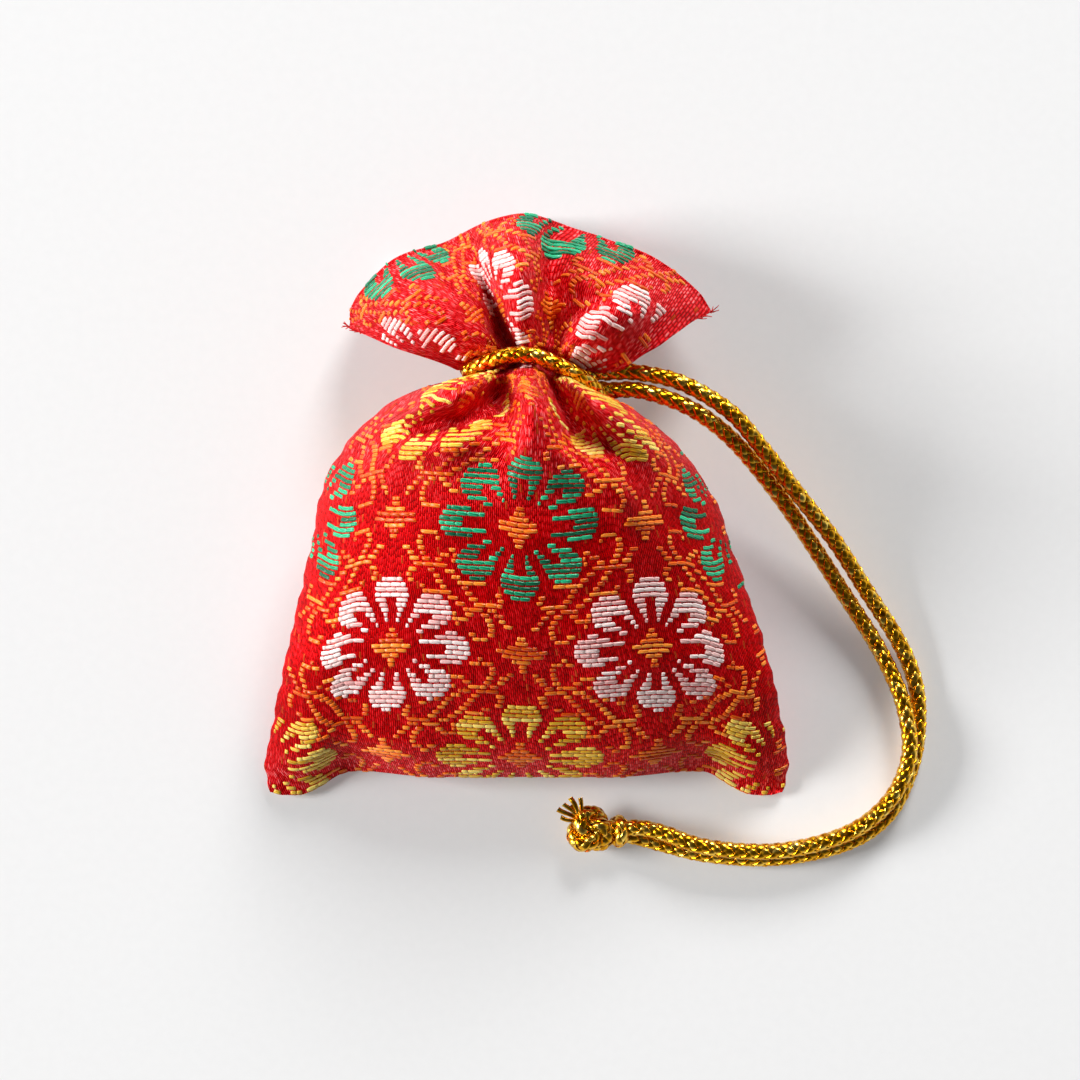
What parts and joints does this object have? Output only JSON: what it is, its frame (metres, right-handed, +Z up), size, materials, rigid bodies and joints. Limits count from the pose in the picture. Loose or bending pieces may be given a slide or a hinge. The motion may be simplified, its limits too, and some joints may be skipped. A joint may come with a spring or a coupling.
{
  "type": "scented sachet",
  "caption": "Small stuffed brocade drawstring pouch, gathered at the neck under a frill and tied with a long gold braided cord that ends in an overhand knot.",
  "frame": {"origin": "middle of the pouch's outline seen from above, on the surface that it lies on", "axes": "+Y from the bottom fold to the frill, +Z up from the table through the front face, +X to the side where the cord loops"},
  "size_m": [0.0761, 0.0746, 0.0259],
  "materials": {
    "red_brocade": "satin brocade with coloured weft floats",
    "gold_cord": "braided metallic thread"
  },
  "bodies": {
    "root": {"brocade_pouch": "red_brocade", "neck_tie": "gold_cord", "cord_run_outer": "gold_cord", "cord_run_inner": "gold_cord", "end_knot": "gold_cord"}
  },
  "joints": []
}
